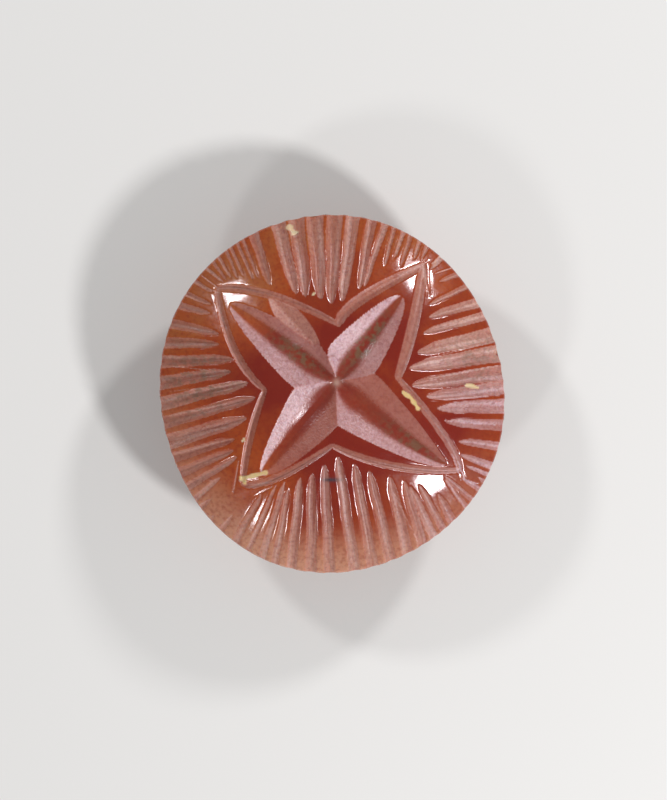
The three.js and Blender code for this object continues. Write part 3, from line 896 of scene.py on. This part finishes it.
def drill_mesh():
    """A closed round body along X, with a flat end at each side."""
    points = []
    for x in np.linspace(-DRILL_REACH, DRILL_REACH, DRILL_STEPS + 1):
        radius = bore_radius(x)
        for side in range(DRILL_SIDES):
            turn = 2 * math.pi * side / DRILL_SIDES
            y, z = radius * math.cos(turn), HOLE_HEIGHT + radius * math.sin(turn)
            points.append((x * MM, y * MM, z * MM))
    facets = [tuple(reversed(range(DRILL_SIDES)))]
    for step in range(DRILL_STEPS):
        for side in range(DRILL_SIDES):
            a = step * DRILL_SIDES + side
            b = step * DRILL_SIDES + (side + 1) % DRILL_SIDES
            facets.append((a, b, b + DRILL_SIDES, a + DRILL_SIDES))
    facets.append(tuple(range(DRILL_STEPS * DRILL_SIDES, (DRILL_STEPS + 1) * DRILL_SIDES)))
    mesh = bpy.data.meshes.new("drill")
    mesh.from_pydata(points, [], facets)
    mesh.update()
    return mesh


drill = bpy.data.objects.new("drill", drill_mesh())
bpy.context.collection.objects.link(drill)
print("hole %.1f mm wide at its mouths and %.1f mm inside" % (2 * MOUTH_RADIUS, 2 * WAIST_RADIUS))

# %% [markdown]
# ## Drilling
# A Boolean is right here, because the hole is one clean shape that crosses the whole stone. Edges sharper
# than SHARP_ANGLE, such as the hole's mouths, stay crisp while the rest is shaded smooth.

# %% Cut the hole
SHARP_ANGLE = 50

bore = uncut.modifiers.new("string_hole", "BOOLEAN")
bore.operation = "DIFFERENCE"
bore.solver = "MANIFOLD"
bore.object = drill
drilled = bpy.data.meshes.new_from_object(uncut.evaluated_get(bpy.context.evaluated_depsgraph_get()))
for helper in (uncut, drill):
    bpy.data.objects.remove(helper)
stone = bpy.data.objects.new("seal_stone_carved", drilled)
bpy.context.collection.objects.link(stone)
drilled.shade_smooth()
drilled.set_sharp_from_angle(angle=math.radians(SHARP_ANGLE))
print("facets after drilling:", sum(len(facet.vertices) - 2 for facet in drilled.polygons))

# %% [markdown]
# ## The stone's own colour, and a painted glow at the rim
# Carnelian's colour drifts across the pebble: orange on the upper left, deep red in the middle and on the
# right, brown amber at the lower left, and pale tan at the lower rim. Two maps say this. Warm rises towards
# the rim, most of all on the left and at the top, and in two round spots. Its rise towards the rim is partly
# a painted glow of light shining through the thin edge. Pale lies along the rim round one bearing. A spot's
# values are its centre, its radius and its strength.

# %% Warm and pale
WARM_SPOTS = [((-4.2, 4.2), 2.2, 0.3), ((-3.6, -4.2), 2.4, 0.3)]
# Painted glow: the warmth rises towards the rim as if light shone through the thin edge.
WARM_AND_GLOW_FROM_RADIUS = 0.35
RIM_GLOW, WARM_LEFT, WARM_TOP = 0.2, 0.38, 0.25
PALE_BEARING = 258
PALE_FROM_RADIUS = 0.7
PALE_FOCUS = 1.5


def spots(x, y, places):
    """Soft round spots, added together."""
    total = np.zeros_like(x)
    for centre, radius, strength in places:
        away = (x - centre[0]) ** 2 + (y - centre[1]) ** 2
        total += strength * np.exp(-away / radius ** 2)
    return total


def warmth_glow_and_pale(x, y, turn, rim_share):
    """The two maps of the body colour, the first partly a painted glow at the rim. rim_share is 0 at the
    middle and 1 at the rim.
    """
    left = 0.5 - 0.5 * np.cos(turn)
    top = np.clip(np.sin(turn), 0, 1)
    warmth_and_rim_glow = smooth_step(rim_share, WARM_AND_GLOW_FROM_RADIUS, 1.0) * (RIM_GLOW + WARM_LEFT * left + WARM_TOP * top)
    near_bearing = np.clip(np.cos(turn - math.radians(PALE_BEARING)), 0, 1) ** PALE_FOCUS
    pale = smooth_step(rim_share, PALE_FROM_RADIUS, 1.0) * near_bearing
    return warmth_and_rim_glow + spots(x, y, WARM_SPOTS), pale


print("warm spots:", len(WARM_SPOTS))

# %% [markdown]
# ## Ground, frosty and dirty places, and painted light
# A finish that changes over the surface is written on the mesh as named numbers, one for each point. They
# come from the same formula as the shape, so the dirt lies in the strokes and the polish on the ridges.
# The hole and the rest flat were never polished, so they count as ground. The star's middle
# is a pale knot, and one dark streak lies under the star. Some maps also hold painted light: each petal's
# valley is darkened with dirt and painted shade and loses its frost and grinding; the rays on the right are
# painted paler, as lit by the stronger lamps there; and a painted lavender sheen lies in the star and at the
# lower right.

# %% Finish maps
GROUND_FROM, GROUND_TO = 0.006, 0.035
GROUND_IN_HOLE = 0.8
HOLE_EDGE, FLAT_EDGE = 0.03, 0.05
VALLEY_FROM, VALLEY_TO = 0.5, 0.82
# Painted shade: how much grinding fades in a petal's valley, so that it stays dark.
VALLEY_SHADE_CLEARS = 0.8
STROKE_DIRT = [((-6.6, 0.6), 1.9, 0.65), ((7.0, 1.6), 1.6, 0.4)]
# Dirt and painted shade in the petals' valleys.
VALLEY_DIRT_AND_SHADE = [((1.9, 2.6), 1.7, 0.9), ((-1.7, 2.0), 1.6, 0.7), ((4.0, -2.6), 1.8, 0.6)]
KNOT = [(STAR_CENTRE - (0.02, 0.08), 0.2, 0.8)]
STREAK_CENTRE, STREAK_REACH = (0.0, -4.27), (0.5, 0.09)
# Painted light: the rays on the right are painted paler, as lit by the stronger lamps there.
RAY_LIT_PALENESS_LEFT, RAY_LIT_PALENESS_GAIN = 0.8, 0.6
GAIN_FROM, GAIN_TO = 2, 7
PALE_FROST = 0.1
# Painted sheen: a lavender haze of lamp light at the lower right.
LAVENDER_SHEEN_RIGHT, LAVENDER_SHEEN_DOWN = (3, 7.5), (-3, 1)
PALE_UNDERNEATH = 0.5


def streak_cover(x, y):
    """The one dark streak under the star."""
    across = (x - STREAK_CENTRE[0]) / STREAK_REACH[0]
    up = (y - STREAK_CENTRE[1]) / STREAK_REACH[1]
    return np.exp(-across ** 2 - up ** 2)


def finish_maps(points):
    """Every named map, one value from 0 to 1 for each point."""
    x, y, z = points.T
    turn = np.arctan2(y, x)
    round_radius = np.hypot(x, y) * MEAN_RADIUS / outline(turn)
    on_top = z > GIRDLE_MIDDLE
    depth, valley, frost_and_painted_light = carving(x, y)
    depth = np.where(on_top, depth, 0)
    valley = np.where(on_top, valley, 0)
    cover, yellow = flake_cover(x, y)
    warmth_and_rim_glow, pale = warmth_glow_and_pale(x, y, turn, np.clip(round_radius / MEAN_RADIUS, 0, 1))
    in_hole = np.hypot(y, z - HOLE_HEIGHT) < bore_radius(x) + HOLE_EDGE
    on_flat = (round_radius < FLAT_RADIUS + FLAT_EDGE) & ~on_top
    ground = smooth_step(depth, GROUND_FROM, GROUND_TO)
    ground = np.maximum(ground, np.where(in_hole | on_flat, GROUND_IN_HOLE, 0))
    in_valley = smooth_step(valley, VALLEY_FROM, VALLEY_TO)
    # Real dirt in the strokes, and dirt with painted shade in the petals' valleys.
    dirt_and_valley_shade = ground * spots(x, y, STROKE_DIRT) + in_valley * spots(x, y, VALLEY_DIRT_AND_SHADE)
    in_star = valley > 0
    on_ray = (depth > GROUND_FROM) & ~in_star
    # Painted light: rays on the right are paler, as lit from that side.
    lit_from_right = RAY_LIT_PALENESS_LEFT + RAY_LIT_PALENESS_GAIN * smooth_step(x, GAIN_FROM, GAIN_TO)
    # Painted shade: a petal's valley loses its frost.
    frost_and_painted_light = np.where(in_star, frost_and_painted_light * (1 - in_valley), frost_and_painted_light)
    frost_and_painted_light = np.where(on_ray, frost_and_painted_light * lit_from_right + PALE_FROST * pale, frost_and_painted_light)
    # Painted shade: a petal's valley counts as less ground, so it stays dark red.
    ground = np.where(in_star, ground * (1 - VALLEY_SHADE_CLEARS * in_valley), ground)
    # A painted lavender sheen of lamp light at the lower right.
    lavender_sheen = smooth_step(x, *LAVENDER_SHEEN_RIGHT) * smooth_step(-y, *LAVENDER_SHEEN_DOWN)
    return {
        "frost_and_painted_light": np.clip(frost_and_painted_light, 0, 1),
        "star": np.maximum(in_star, lavender_sheen),
        "ground": ground,
        "warmth_and_rim_glow": np.clip(warmth_and_rim_glow, 0, 1),
        "pale": np.where(on_top, pale, pale * PALE_UNDERNEATH),
        "dirt_and_valley_shade": np.clip(np.where(on_top, dirt_and_valley_shade, 0), 0, 1),
        "residue": np.where(on_top, cover, 0),
        "yellow": np.where(on_top, yellow, 0),
        "knot": np.where(on_top, spots(x, y, KNOT), 0),
        "streak": np.where(on_top, streak_cover(x, y), 0),
    }


stone_points = np.empty(len(drilled.vertices) * 3)
drilled.vertices.foreach_get("co", stone_points)
for name, values in finish_maps(stone_points.reshape(-1, 3) / MM).items():
    layer = drilled.attributes.new(name, "FLOAT", "POINT")
    layer.data.foreach_set("value", np.ascontiguousarray(values, dtype=np.float32))
    print("map %-8s mean %.3f" % (name, values.mean()))

# %% [markdown]
# ## A bench for the material's nodes
# The material mixes a dozen colours, and each mix is a node with links. A small class makes and
# joins them. A noise is given by its grains to the metre and its finer detail.

# %% Node helpers
class Bench:
    """Makes and joins the nodes of one material."""

    def __init__(self, name):
        self.material = bpy.data.materials.new(name)
        self.material.use_nodes = True
        self.nodes = self.material.node_tree.nodes
        self.links = self.material.node_tree.links
        self.shader = self.nodes["Principled BSDF"]

    def feed(self, socket, source):
        """Gives a socket a link or a plain value."""
        if isinstance(source, bpy.types.NodeSocket):
            self.links.new(source, socket)
        else:
            socket.default_value = source

    def stone_map(self, name):
        """One of the maps written on the mesh."""
        node = self.nodes.new("ShaderNodeAttribute")
        node.attribute_name = name
        return node.outputs["Fac"]

    def blend(self, amount, first, second):
        """A colour between two colours."""
        node = self.nodes.new("ShaderNodeMix")
        node.data_type = "RGBA"
        self.feed(node.inputs[0], amount)
        self.feed(node.inputs[6], first)
        self.feed(node.inputs[7], second)
        return node.outputs[2]

    def combine(self, operation, first, second):
        """Two numbers added, multiplied or compared."""
        node = self.nodes.new("ShaderNodeMath")
        node.operation = operation
        self.feed(node.inputs[0], first)
        self.feed(node.inputs[1], second)
        return node.outputs[0]

    def ramp(self, value, low, high, to_low=0.0, to_high=1.0):
        """A range of values stretched to another range."""
        node = self.nodes.new("ShaderNodeMapRange")
        self.feed(node.inputs["Value"], value)
        numbers = {"From Min": low, "From Max": high, "To Min": to_low, "To Max": to_high}
        for socket, number in numbers.items():
            node.inputs[socket].default_value = number
        return node.outputs["Result"]

    def noise(self, grains_per_metre, detail):
        """Cloudy noise that is fixed in the stone."""
        place = self.nodes.new("ShaderNodeTexCoord")
        node = self.nodes.new("ShaderNodeTexNoise")
        self.links.new(place.outputs["Object"], node.inputs["Vector"])
        node.inputs["Scale"].default_value = grains_per_metre
        node.inputs["Detail"].default_value = detail
        return node.outputs["Fac"]


bench = Bench("carnelian")
print("nodes:", len(bench.nodes))

# %% [markdown]
# ## The colours of the stone
# The polished body goes from deep red through red-orange to amber as it gets warmer, and to pale tan at the
# lower rim. The warmth near the rim is partly a painted glow of light through the thin edge. Soft clouds, a
# few millimetres wide, shift the warmth. Colours are linear values, which look lighter than they read: a red
# of 0.19 is shown at nearly half of full strength.

# %% Body colour
DEEP_RED = (0.19, 0.015, 0.007, 1)
RED_ORANGE = (0.34, 0.06, 0.011, 1)
AMBER = (0.36, 0.125, 0.036, 1)
PALE_TAN = (0.52, 0.26, 0.17, 1)
CLOUDS = (420, 4)
CLOUD_SHIFT = 0.2


def body_colour():
    """The colour of the polished stone."""
    clouds = bench.ramp(bench.noise(*CLOUDS), 0.3, 0.7, -CLOUD_SHIFT, CLOUD_SHIFT)
    warmth_and_rim_glow = bench.combine("ADD", bench.stone_map("warmth_and_rim_glow"), clouds)
    colour = bench.blend(bench.ramp(warmth_and_rim_glow, 0.0, 0.5), DEEP_RED, RED_ORANGE)
    colour = bench.blend(bench.ramp(warmth_and_rim_glow, 0.5, 1.0), colour, AMBER)
    return bench.blend(bench.stone_map("pale"), colour, PALE_TAN)


body = body_colour()
print("nodes:", len(bench.nodes))

# %% [markdown]
# ## The colours of the strokes
# Ground strokes scatter light at their rough surface, so they are paler and pinker. The frost goes over
# that, partly painted light: paler where walls face the lamps, with painted highlight lines on the rays. It
# is a painted lavender sheen in the star and at the lower right, rose elsewhere. Last, dark red specks
# mottle the stone.

# %% Stroke colour
GROUND_RED = (0.40, 0.13, 0.08, 1)
# Painted sheen: the lavender of lamp light on frosted walls, with rose frost elsewhere.
LAVENDER_SHEEN_COLOUR = (0.62, 0.42, 0.46, 1)
ROSE_FROST_AND_SHEEN = (0.66, 0.42, 0.36, 1)
GROUND_STRENGTH = 0.6
GRAIN = (9000, 2)
GRAIN_LOW, GRAIN_HIGH = 0.62, 0.98
MOTTLE = (5200, 4)
MOTTLE_STRENGTH = 0.42


def stroke_colour(colour, ground, grain):
    """The body colour with ground strokes, frost and mottle over it."""
    colour = bench.blend(bench.combine("MULTIPLY", ground, GROUND_STRENGTH), colour, GROUND_RED)
    grainy = bench.ramp(grain, 0.35, 0.65, GRAIN_LOW, GRAIN_HIGH)
    # Frost with painted light: paler lit walls, highlight lines and a lavender sheen.
    frost_and_painted_light = bench.combine("MULTIPLY", bench.stone_map("frost_and_painted_light"), grainy)
    frost_and_sheen_colour = bench.blend(bench.stone_map("star"), ROSE_FROST_AND_SHEEN, LAVENDER_SHEEN_COLOUR)
    colour = bench.blend(bench.combine("MULTIPLY", frost_and_painted_light, ground), colour, frost_and_sheen_colour)
    mottle = bench.ramp(bench.noise(*MOTTLE), 0.46, 0.7, 0.0, MOTTLE_STRENGTH)
    return bench.blend(mottle, colour, DEEP_RED)


grain = bench.noise(*GRAIN)
ground = bench.stone_map("ground")
carved = stroke_colour(body, ground, grain)
print("nodes:", len(bench.nodes))

# %% [markdown]
# ## Dirt, painted valley shade, knot, streak and flakes
# What lies on the stone is blended over it last, from the bottom up: old dirt in grains, which in the
# petals' valleys is partly painted shade, the pale knot, the dark streak, and the flakes of residue, from
# cream to yellow.

# %% Soiled colour
# Dirt colour, also used as painted shade in the petals' valleys.
DIRT_AND_SHADE_COLOUR = (0.15, 0.10, 0.055, 1)
KNOT_PALE = (0.45, 0.28, 0.23, 1)
BLUE_BLACK = (0.05, 0.045, 0.06, 1)
CREAM = (0.60, 0.47, 0.33, 1)
YELLOW = (0.62, 0.44, 0.19, 1)
DIRT_AND_SHADE_GRAINS = (3200, 3)


def soiled_colour(colour):
    """The stone's colour with all that lies on it, and the painted shade in the petals' valleys."""
    grains = bench.ramp(bench.noise(*DIRT_AND_SHADE_GRAINS), 0.42, 0.6)
    colour = bench.blend(bench.combine("MULTIPLY", bench.stone_map("dirt_and_valley_shade"), grains), colour, DIRT_AND_SHADE_COLOUR)
    colour = bench.blend(bench.stone_map("knot"), colour, KNOT_PALE)
    colour = bench.blend(bench.stone_map("streak"), colour, BLUE_BLACK)
    flake = bench.blend(bench.stone_map("yellow"), CREAM, YELLOW)
    return bench.blend(bench.stone_map("residue"), colour, flake)


bench.feed(bench.shader.inputs["Base Color"], soiled_colour(carved))
print("nodes:", len(bench.nodes))

# %% [markdown]
# ## Polish and grain
# The polished stone mirrors the lamps, and the ground strokes and flakes are dull. A bump adds the grain of
# ground stone, which is far too fine for the mesh.

# %% Roughness and bump
POLISHED_ROUGHNESS = 0.15
DULL_ROUGHNESS = 0.38
ROUGHNESS_SPREAD = 0.04
POLISHED_BUMP = 0.04
DULL_BUMP = 0.55
BUMP_HEIGHT = 0.035
SPARKLE = (21000, 2)
SPARKLE_SHARE = 0.5

dull = bench.combine("MAXIMUM", ground, bench.stone_map("residue"))
spread = bench.ramp(grain, 0.3, 0.7, -ROUGHNESS_SPREAD, ROUGHNESS_SPREAD)
roughness = bench.combine("ADD", bench.ramp(dull, 0, 1, POLISHED_ROUGHNESS, DULL_ROUGHNESS), spread)
bench.feed(bench.shader.inputs["Roughness"], roughness)
sparkle = bench.combine("MULTIPLY", bench.noise(*SPARKLE), SPARKLE_SHARE)
bump = bench.nodes.new("ShaderNodeBump")
bump.inputs["Distance"].default_value = BUMP_HEIGHT * MM
bench.feed(bump.inputs["Strength"], bench.ramp(dull, 0, 1, POLISHED_BUMP, DULL_BUMP))
bench.feed(bump.inputs["Height"], bench.combine("ADD", grain, sparkle))
bench.links.new(bump.outputs["Normal"], bench.shader.inputs["Normal"])
print("nodes:", len(bench.nodes))

# %% [markdown]
# ## Translucency
# Carnelian is a translucent quartz. Light goes a short way in and comes back red, which is what subsurface
# scattering does, cheaper and calmer here than true glass. Red light goes the furthest. Reflections are
# tinted a very little towards lavender, as they look on the stone.

# %% Translucent carnelian
CARNELIAN_IOR = 1.54
SCATTER_WEIGHT = 0.24
SCATTER_RADIUS = (1.0, 0.25, 0.1)
SCATTER_SCALE = 1.2
REFLECTION_TINT = (1.0, 0.94, 1.0, 1)

translucency = {
    "IOR": CARNELIAN_IOR,
    "Subsurface Weight": SCATTER_WEIGHT,
    "Subsurface Radius": SCATTER_RADIUS,
    "Subsurface Scale": SCATTER_SCALE * MM,
    "Specular Tint": REFLECTION_TINT,
}
for name, value in translucency.items():
    bench.shader.inputs[name].default_value = value
drilled.materials.clear()
drilled.materials.append(bench.material)
print("finish on the stone:", drilled.materials[0].name)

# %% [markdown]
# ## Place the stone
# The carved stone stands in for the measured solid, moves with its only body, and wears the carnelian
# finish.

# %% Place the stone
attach(stone, "root")
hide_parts("seal_stone")
bpy.context.view_layer.update()
